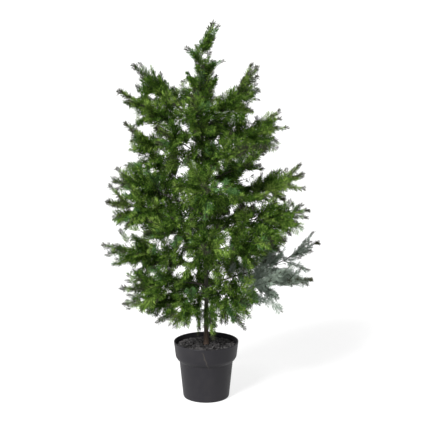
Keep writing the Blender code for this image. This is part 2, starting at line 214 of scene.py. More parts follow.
def alongAxis(axis, share):
    steps = np.linalg.norm(np.diff(axis, axis=0), axis=1)
    far = np.concatenate([[0], np.cumsum(steps)])
    want = share * far[-1]
    i = min(max(int(np.searchsorted(far, want)) - 1, 0), len(steps) - 1)
    t = (want - far[i]) / steps[i]
    return mix(axis[i], axis[i + 1], t), unit(axis[i + 1] - axis[i])


def axisLength(axis):
    return float(np.linalg.norm(np.diff(axis, axis=0), axis=1).sum())


# Sprays, each a flat fan of twigs on its own spine

def sprayFrame(along, roll):
    level = np.cross(along, (0, 0, 1.0))
    if np.linalg.norm(level) < 0.2:
        level = np.cross(along, (0, 1.0, 0))
    level = unit(level)
    over = np.cross(level, along)
    side = level * math.cos(roll) + over * math.sin(roll)
    return side, np.cross(side, along)


def sprayPoints(root, along, roll, length, bend):
    side, face = sprayFrame(along, roll)

    def place(x, y, h):
        lift = bend * length * (y / length) ** 2 + h
        return root + side * x + along * y + face * lift

    fork = math.radians(sprays["twigFork"])
    pairs = sprays["toothPairs"]
    half = sprays["halfSpine"]
    ridges = []
    notches = []
    teeth = []
    for i in range(pairs):
        foot = length * mix(*sprays["teeth"], i / (pairs - 0.5))
        notch = length * mix(*sprays["teeth"], (i + sprays["notch"]) / (pairs - 0.5))
        twig = length * sprays["twigShare"] * (1 - sprays["twigTaper"] * i / pairs)
        across = twig * math.sin(fork) + half
        forward = foot + twig * math.cos(fork)
        ridges.append(place(0, notch, sprays["thickness"] * length))
        notches.append([place(-half, notch, 0), place(half, notch, 0)])
        teeth.append([place(-across, forward, 0), place(across, forward, 0)])
    points = [place(0, length, 0)] + ridges
    for pair in notches + teeth:
        points += pair
    for notch, tooth in zip(notches, teeth):
        points += [mix(notch[0], tooth[0], 0.5), mix(notch[1], tooth[1], 0.5)]
    return np.array(points)


class Crown:
    # whose space a point is in: the stem that it is nearest to, clear of bare wood
    def __init__(self):
        self.axes = {name: limbAxis(*numbers[:5]) for name, *numbers in limbs}
        stems = []
        owners = []
        heights = np.arange(trunk["foot"], trunk["top"], 0.004)
        bareWood = [trunkCentre(z) for z in heights]
        for index, (name, *_, bare, _seed) in enumerate(limbs):
            axis = self.axes[name]
            for share in np.arange(0, bare, 0.012):
                bareWood.append(alongAxis(axis, share)[0])
            for share in np.linspace(bare, 1, 30):
                stems.append(alongAxis(axis, share)[0])
                owners.append(index)
        self.stems = np.array(stems)
        self.owners = np.array(owners)
        self.wood = np.array(bareWood)

    def holds(self, points, owner):
        if points[:, 2].min() < sprays["lowest"]:
            return False
        wood = np.linalg.norm(points[:, None] - self.wood[None], axis=2)
        if wood.min() < sprays["woodMargin"] and owner > 0:
            return False
        far = np.linalg.norm(points[:, None] - self.stems[None], axis=2)
        own = far[:, self.owners == owner].min(axis=1)
        other = far[:, self.owners != owner].min(axis=1)
        return bool(np.all(other > own + 2 * sprays["spaceMargin"]))


def branchOff(line, at, turn, fork):
    # where a spray leaves a line, and which way
    root, ahead = alongAxis(line, at)
    side, _ = sprayFrame(ahead, math.radians(turn))
    return root, unit(ahead * math.cos(fork) + side * math.sin(fork))


def limbSprays(crown, owner):
    # The large sprays of one limb, the same as the solids', and the share where its stem ends
    name, *_, bare, seed = limbs[owner]
    axis = crown.axes[name]
    rng = random.Random(seed)
    reach = axisLength(axis)
    terminal = min(sprays["terminal"], sprays["terminalShare"] * reach * (1 - bare))
    endShare = 1 - terminal / reach
    stretches = boughs["stretches"]
    shares = [mix(bare, endShare, k / stretches) for k in range(stretches + 1)]
    stem = np.array([alongAxis(axis, share)[0] for share in shares])
    wanted = round(axisLength(stem) / sprays["spacing"]) + 2
    roll = math.radians(sprays["terminalRoll"])
    grown = [(stem[-1], alongAxis(axis, endShare)[1], roll, reach * (1 - endShare), 0.0)]
    taken = sprayPoints(*grown[0])
    flattest = sprays["flattestRoll"]
    for _ in range(sprays["tries"]):
        share = rng.random()
        turn = rng.uniform(0, 360)
        fork = math.radians(mix(*sprays["forks"], share) + rng.uniform(*sprays["forkSpread"]))
        length = reach * mix(*sprays["shares"], share)
        length = min(length, sprays["longest"]) * rng.uniform(*sprays["lengths"])
        roll = math.radians(rng.uniform(flattest, 180 - flattest))
        bend = rng.uniform(*sprays["bends"])
        root, along = branchOff(stem, mix(*sprays["feet"], share), turn, fork)
        for shorter in sprays["shorter"]:
            size = length * shorter
            points = sprayPoints(root, along, roll, size, bend)
            apart = np.linalg.norm(points[:, None] - taken[None], axis=2).min()
            if apart > sprays["apart"] * size and crown.holds(points, owner):
                grown.append((root, along, roll, size, bend))
                taken = np.concatenate([taken, points])
                break
        if len(grown) == wanted:
            break
    return grown, endShare


inner = {
    "share": 0.72,          # of a large spray's length
    "lengths": (0.6, 1.3),
    "from": 0.03,
    "bareFrom": 0.30,       # on a bare bough they start this far out
    "bareLength": 0.056,
    "bareLengths": (0.7, 1.2),
    "forkSpread": (-16, 10),
    "bends": (-0.12, 0.12),
}


def innerSpray(crown, owner, draw, endShare):
    # One shorter spray behind the large ones, or none where it would leave its limb's space
    name, *_, bare, seed = limbs[owner]
    axis = crown.axes[name]
    rng = random.Random(1000 * seed + draw)
    share = rng.random()
    turn = rng.uniform(0, 360)
    at = mix(bare * inner["bareFrom"] + inner["from"], endShare, share)
    length = axisLength(axis) * mix(*sprays["shares"], share)
    length = min(length, sprays["longest"]) * inner["share"] * rng.uniform(*inner["lengths"])
    if at < bare:
        length = inner["bareLength"] * rng.uniform(*inner["bareLengths"])
    fork = math.radians(mix(*sprays["forks"], share) + rng.uniform(*inner["forkSpread"]))
    roll = math.radians(rng.uniform(0, 180))
    bend = rng.uniform(*inner["bends"])
    root, along = branchOff(axis, at, turn, fork)
    if crown.holds(sprayPoints(root, along, roll, length, bend), owner):
        return root, along, roll, length, bend
    return None


tufts = {                   # slender ends, given one by one: share along the limb (height on the trunk), azimuth, rise, length, twig share; 0 is one lone twig
                            # trunk), azimuth, rise, length, twig share; 0 is one lone twig
    "leader": ((0.44, 0, 59, 0.069, 0.08), (0.34, 0, 56, 0.053, 0.07), (0.24, 180, 46, 0.046, 0),
        (0.18, 339, 46, 0.040, 0)),
    "top_left": ((0.59, 180, 55, 0.081, 0.06), (0.68, 180, 29, 0.037, 0),
        (0.54, 180, 85, 0.050, 0.06), (0.53, 180, 30, 0.040, 0)),
    "top_right": ((0.61, 0, 63, 0.075, 0.10), (0.60, 328, 36, 0.070, 0.14),
        (0.63, 315, 47, 0.062, 0.08), (0.60, 328, 22, 0.062, 0.08), (0.57, 360, -8, 0.056, 0.08),
        (0.40, 360, -11, 0.060, 0.24), (0.55, 12, 11, 0.061, 0.11)),
    "top_back": ((0.80, 180, -9, 0.026, 0),),
    "upper_left": ((0.57, 180, 23, 0.073, 0.10), (0.69, 180, 69, 0.054, 0),
        (0.74, 180, 4, 0.027, 0.06), (0.59, 180, -38, 0.047, 0)),
    "upper_right": ((0.73, 360, 43, 0.057, 0.13), (0.68, 180, 82, 0.032, 0),
        (0.73, 360, -5, 0.062, 0.13), (0.68, 0, -30, 0.049, 0)),
    "left_shoulder": ((0.59, 180, 34, 0.069, 0.10), (0.61, 180, -28, 0.042, 0)),
    "left_back_shoulder": ((0.74, 180, 3, 0.045, 0.10),),
    "right_shoulder": ((0.09, 311, 10, 0.067, 0.30), (0.53, 360, 45, 0.068, 0.14),
        (0.48, 0, 64, 0.055, 0.14), (0.78, 360, 69, 0.034, 0.07), (0.78, 360, 44, 0.063, 0.14),
        (0.70, 0, 58, 0.040, 0.08), (0.80, 360, 14, 0.047, 0.07), (0.73, 0, -11, 0.068, 0.14),
        (0.61, 0, -27, 0.052, 0.24), (0.66, 360, -33, 0.042, 0.14)),
    "right_notch": ((0.80, 360, -4, 0.034, 0.07), (0.72, 0, 47, 0.073, 0.24),
        (0.68, 360, 46, 0.045, 0.30), (0.74, 360, 3, 0.042, 0.07)),
    "left": ((0.73, 180, 45, 0.055, 0.14), (0.70, 180, -7, 0.051, 0)),
    "left_middle": ((0.79, 180, 48, 0.070, 0.10), (0.82, 180, 9, 0.033, 0),
        (0.66, 180, -21, 0.055, 0.11)),
    "right_middle": ((0.35, 304, 46, 0.070, 0.30), (0.25, 0, 58, 0.060, 0.34),
        (0.29, 284, 60, 0.062, 0.34), (0.73, 360, 22, 0.059, 0), (0.63, 360, -19, 0.074, 0.24),
        (0.68, 360, 45, 0.053, 0.07), (0.73, 360, -5, 0.067, 0.14), (0.64, 360, -45, 0.067, 0.14)),
    "right_front": ((0.72, 360, -30, 0.047, 0.24),),
    "front_left": ((0.93, 180, 20, 0.056, 0.08),),
    "left_low": ((0.70, 180, 55, 0.058, 0), (0.73, 180, -10, 0.061, 0.07),
        (0.53, 180, -21, 0.064, 0.24), (0.78, 169, -12, 0.043, 0), (0.66, 180, -34, 0.059, 0.13),
        (0.54, 180, -58, 0.060, 0.24), (0.45, 180, -56, 0.059, 0.24),
        (0.20, 226, -5, 0.042, 0.24), (0.28, 243, -19, 0.060, 0.30)),
    "right_low": ((0.79, 0, 51, 0.068, 0.07), (0.66, 360, 11, 0.045, 0.07),
        (0.78, 360, 13, 0.042, 0), (0.72, 180, 1, 0.036, 0)),
    "left_skirt": ((0.64, 180, 41, 0.058, 0.24), (0.69, 180, 18, 0.054, 0.11)),
    "right_skirt": ((0.78, 360, 4, 0.057, 0.10), (0.76, 360, 44, 0.049, 0.10),
        (0.50, 0, -35, 0.048, 0.26), (0.40, 360, -47, 0.040, 0.26)),
    "left_back_skirt": ((0.73, 180, 16, 0.044, 0.10), (0.63, 180, -27, 0.069, 0.08),
        (0.64, 180, -53, 0.045, 0), (0.45, 180, -67, 0.062, 0.10)),
    "front_left_skirt": ((0.56, 180, -59, 0.048, 0.10), (0.31, 180, -75, 0.040, 0.07),
        (0.12, 269, -83, 0.084, 0.06), (0.19, 303, -69, 0.068, 0)),
    "front_right_skirt": ((0.63, 0, -61, 0.034, 0),),
    "hanging_right": ((0.34, 360, -85, 0.048, 0.08), (0.05, 302, -67, 0.061, 0.14),
        (0.31, 261, -63, 0.045, 0.14), (0.11, 360, -25, 0.028, 0.26)),
    "hanging_front": ((0.17, 299, -72, 0.072, 0),),
    "trunk": ((0.798, 15, 28, 0.043, 0), (0.798, 236, 65, 0.034, 0),
        (0.760, 295, 71, 0.067, 0.09), (0.750, 273, 59, 0.058, 0.08),
        (0.742, 315, 61, 0.074, 0.11), (0.730, 27, 60, 0.066, 0.08),
        (0.724, 246, 57, 0.051, 0.11), (0.720, 310, 46, 0.066, 0.11),
        (0.740, 63, 58, 0.064, 0.13), (0.712, 112, 54, 0.055, 0.13), (0.748, 360, 53, 0.062, 0)),
}

tuft = {
    "seed": 41,
    "astray": (-12, 12),    # degrees off its azimuth
    "rolls": (30, 70),
    "bends": (-0.08, 0.08),
}

hugging = {                 # small tufts that hide the trunk inside the crown
    "heights": (0.400, 0.785),
    "count": 36,
    "astray": (-20, 20),
    "rise": 48.0,
    "riseSpread": (-18, 14),
    "length": 0.052,
    "lengths": (0.75, 1.3),
    "bends": (-0.1, 0.1),
    "share": 0.24,
    "seed": 3,
}


def tuftSprays(crown, name):
    # Slender brushes at the ends of limbs and by the trunk, with their twig share
    rng = random.Random(len(name) + tuft["seed"])
    made = []
    for at, azimuth, rise, length, share in tufts.get(name, ()):
        root = trunkCentre(at) if name == "trunk" else alongAxis(crown.axes[name], at)[0]
        along = heading(azimuth + rng.uniform(*tuft["astray"]), rise)
        roll = math.radians(rng.uniform(*tuft["rolls"]))
        made.append(((root, along, roll, length, rng.uniform(*tuft["bends"])), share))
    return made


def huggingSprays():
    rng = random.Random(hugging["seed"])
    made = []
    for k in range(hugging["count"]):
        share = (k + rng.random()) / hugging["count"]
        root = trunkCentre(mix(*hugging["heights"], share))
        azimuth = goldenAngle * k + rng.uniform(*hugging["astray"])
        along = heading(azimuth, hugging["rise"] + rng.uniform(*hugging["riseSpread"]))
        length = hugging["length"] * rng.uniform(*hugging["lengths"])
        roll = math.radians(rng.uniform(0, 180))
        bend = rng.uniform(*hugging["bends"])
        made.append(((root, along, roll, length, bend), hugging["share"]))
    return made


# Twigs and needles on a spray

shoots = {
    "pitch": 0.0080,        # between feet, which take turns left and right
    "span": (0.09, 0.95),
    "fork": 38.0,
    "forkSpread": 7.0,
    "tilt": 15.0,           # out of the spray's plane, spread
    "share": 0.39,          # of the spray's length
    "endShare": 0.15,       # the same on the spray that ends a limb
    "short": (0.42, 0.72),  # some twigs are short, the rest stand out as fingers
    "longest": 0.046,
    "lengths": (0.9, 1.15),
    "taper": 0.14,          # twigs grow shorter towards the spray's tip
    "taperFrom": 0.20,
    "taperOver": 0.208,
    "atFoot": 0.75,         # and towards its foot
    "fullFrom": 0.25,
    "inside": 0.96,         # of the room up to the spray's tip
    "tiltMost": 42,
    "curl": 0.42,           # how far a twig turns forward by its tip
    "curls": (0.3, 1.2),
    "warp": 0.08,
    "mixed": 0.6,           # of the twigs have another colour than their spray
    "brownFrom": 0.76,      # twigs past this on a browned tuft are brown
    "sunk": 0.0006,
    "radius": 0.00062,
    "tipRadius": 0.00030,
    "spineRadius": 0.00105,
    "spineTip": 0.00042,
}

needles = {
    "pitch": 0.00072,
    "innerPitch": 0.00112,
    "tuftPitch": 0.00056,
    "lonePitch": 0.00034,   # on a twig that stands alone
    "tip": 0.0100,          # of a twig's end, browned
    "length": 0.0132,
    "fewest": 5,
    "from": 0.05,           # share of a twig where they start
    "last": 0.995,          # where the one at the twig's end stands
    "short": 0.80,          # of the length at the ends of a twig, with a swell between
    "swell": 0.20,
    "swellFrom": 0.15,
    "lengthSpread": 0.09,
    "lean": 1.06,           # of a look's spread, less towards the twig's end
    "closing": 0.30,
    "leanSpread": 7,
    "lastLean": 0.2,
    "width": 0.00190,
    "keel": 0.00055,
    "widest": 0.50,
    "flat": 0.62,           # how far the needles lie towards the spray's plane
    "turn": math.radians(goldenAngle),
    "turnSpread": 0.25,
    "crest": 0.6,           # of its length, the point that is tried against the gaps
    "seed": 11,
}

slim = {"leader": 0.10, "hanging_front": 0.12, "hanging_right": 0.06, "right_low": 0.22,
        "right_skirt": 0.28}
finer = {"hanging_front": 0.66, "hanging_right": 0.72}     # limbs with short needles

eye = {
    "away": 3.0,
    "height": 1.063,
    "across": 0.0132,
    "down": 11.2,
    "lens": 107.2,
}

gaps = np.array((           # where the crown is open right through: x, z at the trunk's depth, radius
    # x, z at the trunk's depth, radius
    (0.103, 0.555, 0.0133), (0.091, 0.545, 0.0097), (0.122, 0.563, 0.0097),
    (0.148, 0.570, 0.0084), (0.182, 0.334, 0.0098), (-0.058, 0.324, 0.0088),
    (-0.059, 0.570, 0.0077), (-0.132, 0.570, 0.0087), (-0.163, 0.334, 0.0073),
    (0.043, 0.382, 0.0073), (-0.084, 0.402, 0.0068), (-0.107, 0.614, 0.0063),
    (0.159, 0.511, 0.0068), (-0.116, 0.389, 0.0073), (-0.188, 0.516, 0.0063),
    (-0.045, 0.626, 0.0063), (-0.026, 0.319, 0.0064), (-0.038, 0.349, 0.0064),
    (0.141, 0.261, 0.0064), (0.033, 0.531, 0.0082), (0.064, 0.467, 0.0058),
    (-0.166, 0.291, 0.0054), (0.105, 0.486, 0.0049), (0.048, 0.306, 0.0054),
    (0.082, 0.352, 0.0044), (-0.151, 0.582, 0.0063), (-0.140, 0.669, 0.0144),
    (-0.162, 0.417, 0.0122), (-0.044, 0.777, 0.0071), (0.174, 0.686, 0.0084),
    (0.190, 0.698, 0.0096), (0.202, 0.710, 0.0120), (0.122, 0.225, 0.0123),
    (0.141, 0.223, 0.0136), (0.129, 0.212, 0.0173), (0.267, 0.379, 0.0110),
    (0.201, 0.364, 0.0086), (-0.032, 0.801, 0.0071), (-0.001, 0.844, 0.0071),
    (-0.177, 0.599, 0.0084), (0.207, 0.474, 0.0061), (-0.161, 0.753, 0.0072),
    (-0.128, 0.749, 0.0072), (-0.238, 0.548, 0.0121), (-0.187, 0.389, 0.0110),
    (-0.068, 0.223, 0.0074), (-0.181, 0.476, 0.0073), (-0.159, 0.248, 0.0074),
))


def sightline(points):
    # where each point stands at the trunk's depth, as the eye sees it
    near = eye["away"] / (eye["away"] + points[:, 1])
    x = eye["across"] + (points[:, 0] - eye["across"]) * near
    z = eye["height"] + (points[:, 2] - eye["height"]) * near
    return x, z


def inGap(points, rng):
    x, z = sightline(points)
    far = np.hypot(x[:, None] - gaps[None, :, 0], z[:, None] - gaps[None, :, 1])
    ragged = rng.uniform(0.5, 1.25, len(points))
    return (far < gaps[None, :, 2] * ragged[:, None]).any(axis=1)


filling = {                 # how the small sprays are picked, on a raster of the front view
    "cell": 0.0045,
    "columns": 170,
    "rows": 230,
    "left": -0.38,
    "cleft": 1,             # cells; narrower clefts between the large sprays are closed
    "tries": 220,           # small sprays tried on each limb
    "outside": 0.03,        # of a spray's cells may lie past the outline or in a gap
    "layers": 5,            # sprays over a cell make it full
    "fresh": (0.75, 0.50, 0.30),    # of its cells have to be thin still, pass by pass
    "behind": 8,            # more on each limb, for the sides and back
    "inGaps": 0.12,         # of a large spray's cells may lie in a gap before it is cut back
    "cut": 0.92,
    "least": 0.60,
    "samples": (12, 7),     # along and across a spray
    "half": 0.62,           # of its twigs' length, plus a needle's reach
    "needle": 0.005,
}


def gapRaster():
    # Which cells of the raster lie in a gap
    x = filling["left"] + filling["cell"] * (np.arange(filling["columns"]) + 0.5)
    z = filling["cell"] * (np.arange(filling["rows"]) + 0.5)
    x, z = [grid.ravel()[:, None] for grid in np.meshgrid(x, z)]
    return (np.hypot(x - gaps[:, 0], z - gaps[:, 1]) < gaps[:, 2]).any(axis=1)


gapCells = gapRaster()


def twigShare(name):
    return slim.get(name, shoots["share"])


def footprint(spray, share):
    # The cells that a spray covers, out to its needles
    root, along, roll, length, bend = spray
    side, face = sprayFrame(along, roll)
    down, across = filling["samples"]
    t, u = np.meshgrid(np.linspace(0, 1, down), np.linspace(-1, 1, across))
    t, u = t.ravel(), u.ravel()
    shape = np.minimum(1, np.minimum(0.3 + 3 * t, 2.4 * (1.02 - t)))    # blunt foot, long tip
    half = filling["half"] * share * length * shape + filling["needle"]
    points = root + np.outer(u * half, side) + np.outer(t * length, along)
    x, z = sightline(points + np.outer(bend * length * t * t, face))
    column = ((x - filling["left"]) / filling["cell"]).astype(int)
    row = (z / filling["cell"]).astype(int)
    return np.unique(row * filling["columns"] + column)


def trimmed(spray, share):
    # A large spray that reaches into a gap is cut back step by step
    root, along, roll, length, bend = spray
    left = 1
    while left > filling["least"]:
        cells = footprint((root, along, roll, length * left, bend), share)
        if np.mean(gapCells[cells]) <= filling["inGaps"]:
            break
        left *= filling["cut"]
    return root, along, roll, length * left, bend


def widened(mask, cells):
    grown = mask.copy()
    for down in range(-cells, cells + 1):
        for across in range(-cells, cells + 1):
            if down * down + across * across <= cells * cells + 1:
                grown |= np.roll(mask, (down, across), (0, 1))
    return grown


def smallSprays(crown, large, ends):
    # Small sprays that fill the crown within the outline of the large ones, and leave the gaps
    layers = np.zeros(gapCells.size, int)
    for spray, share in large:
        layers[footprint(spray, share)] += 1
    outline = (layers > 0).reshape(filling["rows"], filling["columns"])
    outline = ~widened(~widened(outline, filling["cleft"]), filling["cleft"])
    outline = outline.ravel() & ~gapCells
    tried = []
    for draw in range(filling["tries"]):
        for owner, (name, *_) in enumerate(limbs):
            spray = innerSpray(crown, owner, draw, ends[name])
            if spray:
                cells = footprint(spray, twigShare(name))
                if np.mean(~outline[cells]) <= filling["outside"]:
                    tried.append((name, spray, cells))
    picked = {name: [] for name, *_ in limbs}
    for fresh in filling["fresh"]:
        left = []
        for name, spray, cells in tried:
            if np.mean(layers[cells] < filling["layers"]) >= fresh:
                picked[name].append(spray)
                layers[cells] += 1
            else:
                left.append((name, spray, cells))
        tried = left
    behind = dict.fromkeys(picked, filling["behind"])
    for name, spray, cells in tried:
        if behind[name]:
            behind[name] -= 1
            picked[name].append(spray)
    print("small sprays", sum(len(group) for group in picked.values()))
    return picked


tones = ("deep", "shade", "mid", "leaf", "bright")
steps = (-2, -1, -1, 0, 0, 0, 0, 1, 1, 2)   # a needle may be a tone or two off its twig's


class Foliage:
    # gathers every twig and needle as arrays, needles by colour
    def __init__(self):
        self.twigs = []
        self.needles = {}
        self.rng = np.random.default_rng(needles["seed"])

    def needlesOn(self, colour, foot, start, end, length, face, look, begin, browned):
        rng = self.rng
        count = max(needles["fewest"], int(length * (1 - begin) / look["needlePitch"]))
        t = begin + (1 - begin) * (np.arange(count) + rng.uniform(0.1, 0.9, count)) / count
        t[-1] = needles["last"]
        centre = foot + length * (start * t[:, None] + (end - start) * (t[:, None] ** 2) / 2)
        tangent = units(start + (end - start) * t[:, None])
        across = units(np.cross(tangent, face))
        up = np.cross(across, tangent)
        turn = rng.uniform(0, 6.28) + needles["turn"] * np.arange(count)
        turn += rng.normal(0, needles["turnSpread"], count)
        flat = needles["flat"] * np.sin(turn)
        radial = units(across * np.cos(turn)[:, None] + up * flat[:, None])
        lean = look["spread"] * (needles["lean"] - needles["closing"] * t**4)
        lean = np.radians(lean + rng.normal(0, needles["leanSpread"], count))
        lean[-1] = needles["lastLean"]
        ahead = tangent * np.cos(lean)[:, None] + radial * np.sin(lean)[:, None]
        outward = units(radial - ahead * (radial * ahead).sum(axis=1)[:, None])
        roll = rng.uniform(0, math.pi, count)[:, None]
        outward = outward * np.cos(roll) + np.cross(ahead, outward) * np.sin(roll)
        swell = np.sin(math.pi * np.minimum(1, needles["swellFrom"] + t))
        long = look["needle"] * (needles["short"] + needles["swell"] * swell)
        long *= rng.normal(1, needles["lengthSpread"], count)
        shown = ~inGap(centre + ahead * (needles["crest"] * long)[:, None], rng)
        brown = t > 1 - needles["tip"] / length if browned else np.zeros(count, bool)
        tone = rng.choice(steps, count) + (tones.index(colour) if colour in tones else 0)
        tone = np.clip(tone, 0, len(tones) - 1)
        parts = [(~brown & (tone == k), name) for k, name in enumerate(tones)]
        if colour not in tones:
            parts = [(~brown, colour)]
        for part, name in parts + [(brown, "tip")]:
            part = part & shown
            if part.any():
                kept = centre[part], ahead[part], outward[part], long[part]
                self.needles.setdefault(name, []).append(kept)


def leafSpray(foliage, spray, look):
    # Twigs left and right of the spine, each with its needles
    root, along, roll, size, bend = spray
    side, face = sprayFrame(along, roll)
    rng = foliage.rng
    colour = look["colour"]
    end = along + 2 * bend * face
    foliage.twigs.append((root - along * shoots["sunk"], along, end, size, face,
                          shoots["spineRadius"] * look["wood"], shoots["spineTip"], 4))
    browned = look["browned"] > 0
    foliage.needlesOn(colour, root, along, end, size, face, look, look["begin"], browned)
    first, last = shoots["span"]
    count = max(3, int(size * (last - first) / (shoots["pitch"] * look["pitch"])))
    hand = 1 if rng.random() < 0.5 else -1
    for k in range(count):
        s = mix(first, last, (k + rng.uniform(0.25, 0.75)) / count)
        hand = -hand
        taper = 1 - shoots["taper"] * max(0.0, s - shoots["taperFrom"]) / shoots["taperOver"]
        length = min(size * look["share"] * taper, shoots["longest"])
        atFoot = mix(shoots["atFoot"], 1.0, min(1.0, s / shoots["fullFrom"]))
        length *= rng.uniform(*shoots["lengths"]) * atFoot
        short = rng.random() < look["shortOdds"]
        if short:
            length *= rng.uniform(*shoots["short"])
        fork = math.radians(rng.normal(shoots["fork"], shoots["forkSpread"]))
        length = min(length, (1.0 - s) * size / math.cos(fork) * shoots["inside"])
        if length < look["least"]:
            continue
        most = shoots["tiltMost"]
        tilt = math.radians(max(-most, min(most, rng.normal(0, shoots["tilt"]))))
        foot = root + size * (along * s + (end - along) * s * s / 2)
        forward = unit(along + (end - along) * s)
        sideways = unit(side * hand * math.cos(tilt) + face * math.sin(tilt))
        start = forward * math.cos(fork) + sideways * math.sin(fork)
        curl = shoots["curl"] * rng.uniform(*shoots["curls"])
        tip = unit(start + curl * forward + face * rng.normal(0, shoots["warp"]))
        if not inGap((foot + needles["crest"] * length * start)[None], rng)[0]:
            foliage.twigs.append((foot, start, tip, length, face,
                                  shoots["radius"] * look["wood"], shoots["tipRadius"], 2))
        shade = colour
        if rng.random() < shoots["mixed"]:
            shade = look["others"][int(rng.integers(len(look["others"])))]
        brown = not short and rng.random() < look["browned"]
        if look["browned"] > 0.5 and s > shoots["brownFrom"] and colour != "grey":
            shade = "tip"
        foliage.needlesOn(shade, foot, start, tip, length, face, look, needles["from"], brown)


greens = {                  # plain base colours, linear: low, high
    "tip": ((0.011, 0.013, 0.007), (0.070, 0.074, 0.046)),
    "deep": ((0.003, 0.014, 0.001), (0.038, 0.085, 0.010)),
    "shade": ((0.010, 0.030, 0.003), (0.081, 0.162, 0.022)),
    "mid": ((0.021, 0.056, 0.005), (0.152, 0.256, 0.042)),
    "leaf": ((0.034, 0.082, 0.008), (0.214, 0.330, 0.064)),
    "bright": ((0.052, 0.108, 0.013), (0.294, 0.416, 0.092)),
    "blue": ((0.020, 0.060, 0.017), (0.120, 0.238, 0.074)),
    "grey": ((0.130, 0.176, 0.134), (0.306, 0.360, 0.304)),
}

deals = {                   # how the greens are dealt out over a mass, by its kind
    "grey": (("grey", 1),),
    # bright: lighter greens for the upper masses, painted light
    "bright": (("bright", 3), ("leaf", 4), ("mid", 3), ("shade", 1)),
    # deep: darker greens for the back masses and the notch, painted shade
    "deep": (("deep", 3), ("shade", 4), ("mid", 3), ("blue", 1)),
    "plain": (("shade", 2), ("mid", 5), ("leaf", 4), ("blue", 2), ("deep", 1), ("bright", 1)),
    # inner: the darkest greens, painted shade for the sprays inside the crown
    "inner": (("deep", 5), ("shade", 4), ("mid", 2)),
}


def massKind(name):
    if name in ("right_low", "right_skirt"):
        return "grey"
    # the upper masses are dealt the lighter greens, painted light
    if name in ("top_right", "right_shoulder", "upper_right", "upper_left"):
        return "bright"
    # the back masses and the notch are dealt the darker greens, painted shade
    if "back" in name or "notch" in name:
        return "deep"
    return "plain"


def dealt(kind):
    return [name for name, weight in deals[kind] for _ in range(weight)]


looks = {                   # how a spray is leafed, by its place
    "outer": {"needlePitch": needles["pitch"], "wood": 1.0, "pitch": 1.0, "begin": 0.12,
              "browned": 0.04, "shortOdds": 0.52, "least": 0.006},
    "inner": {"needlePitch": needles["innerPitch"], "wood": 0.8, "pitch": 1.15, "begin": 0.08,
              "browned": 0.0, "shortOdds": 0.52, "least": 0.006},
    "end": {"needlePitch": needles["tuftPitch"], "pitch": 0.60, "begin": 0.05,
            "browned": 0.8, "shortOdds": 0.15, "least": 0.0035},
    "lone": {"needlePitch": needles["lonePitch"], "spread": 54.0},
}

dress = {                   # what varies from spray to spray
    "spreads": (34, 43),
    "lengths": (0.9, 1.1),
    "closedOdds": 0.12,     # young sprays, with short needles that lie close
    "closedSpread": 24.0,
    "closedLength": 0.68,
    "tuftSpreads": (40, 47),
    "tuftLengths": (0.88, 1.08),
    "tuftWood": 0.9,
    "trunkBrowned": 0.3,
    "seedStep": 2000,       # from the seed that grows a limb to the one that dresses it
}


def growTuft(foliage, spray, share, others, rng, browned=looks["end"]["browned"]):
    look = {"colour": rng.choice(others), "others": others, "share": share}
    look.update(looks["end"], spread=rng.uniform(*dress["tuftSpreads"]), wood=dress["tuftWood"],
                needle=needles["length"] * rng.uniform(*dress["tuftLengths"]), browned=browned)
    if not share:
        look.update(looks["lone"])
    leafSpray(foliage, spray, look)


def growFoliage():
    crown = Crown()
    foliage = Foliage()
    stems = {}
    grown = {}
    large = tuftSprays(crown, "trunk") + huggingSprays()
    for owner, (name, *_) in enumerate(limbs):
        grown[name], stems[name] = limbSprays(crown, owner)
        grown[name] = [trimmed(spray, twigShare(name)) for spray in grown[name]]
        large += [(spray, twigShare(name)) for spray in grown[name]] + tuftSprays(crown, name)
    small = smallSprays(crown, large, stems)
    for name, *_, seed in limbs:
        rng = random.Random(seed + dress["seedStep"])
        for k, spray in enumerate(grown[name] + small[name]):
            outer = k < len(grown[name])
            # small sprays inside the crown are dealt the darker inner greens, painted shade
            kind = massKind(name) if outer or massKind(name) == "grey" else "inner"
            others = dealt(kind)
            look = {"colour": rng.choice(others), "others": others, "share": twigShare(name)}
            look.update(looks["outer" if outer else "inner"])
            if k and rng.random() < dress["closedOdds"]:
                look.update(spread=dress["closedSpread"], needle=dress["closedLength"])
            else:
                look.update(spread=rng.uniform(*dress["spreads"]))
                look.update(needle=rng.uniform(*dress["lengths"]))
            look["needle"] = needles["length"] * look["needle"] * finer.get(name, 1.0)
            if k == 0:
                look.update(looks["end"], share=shoots["endShare"])
            leafSpray(foliage, spray, look)
        for spray, share in tuftSprays(crown, name):
            growTuft(foliage, spray, share, dealt(massKind(name)), rng)
    rng = random.Random(hugging["seed"] + dress["seedStep"])
    for spray, share in tuftSprays(crown, "trunk"):
        browned = dress["trunkBrowned"] if share else looks["end"]["browned"]
        growTuft(foliage, spray, share, dealt("plain"), rng, browned)
    for spray, share in huggingSprays():
        # the tufts by the trunk are dealt the darker inner greens, painted shade
        growTuft(foliage, spray, share, dealt("inner"), rng, 0.0)
    return crown, foliage, stems


def joinedMesh(name, points, faces, smooth):
    mesh = bpy.data.meshes.new(name)
    mesh.vertices.add(len(points))
    mesh.vertices.foreach_set("co", points.astype(np.float32).ravel())
    mesh.loops.add(faces.size)
    mesh.loops.foreach_set("vertex_index", faces.astype(np.int32).ravel())
    mesh.polygons.add(len(faces))
    mesh.polygons.foreach_set("loop_start", np.arange(0, faces.size, 3, dtype=np.int32))
    mesh.polygons.foreach_set("use_smooth", np.full(len(faces), smooth))
    mesh.update(calc_edges=True)
    mesh.validate()
    return put(name, mesh)


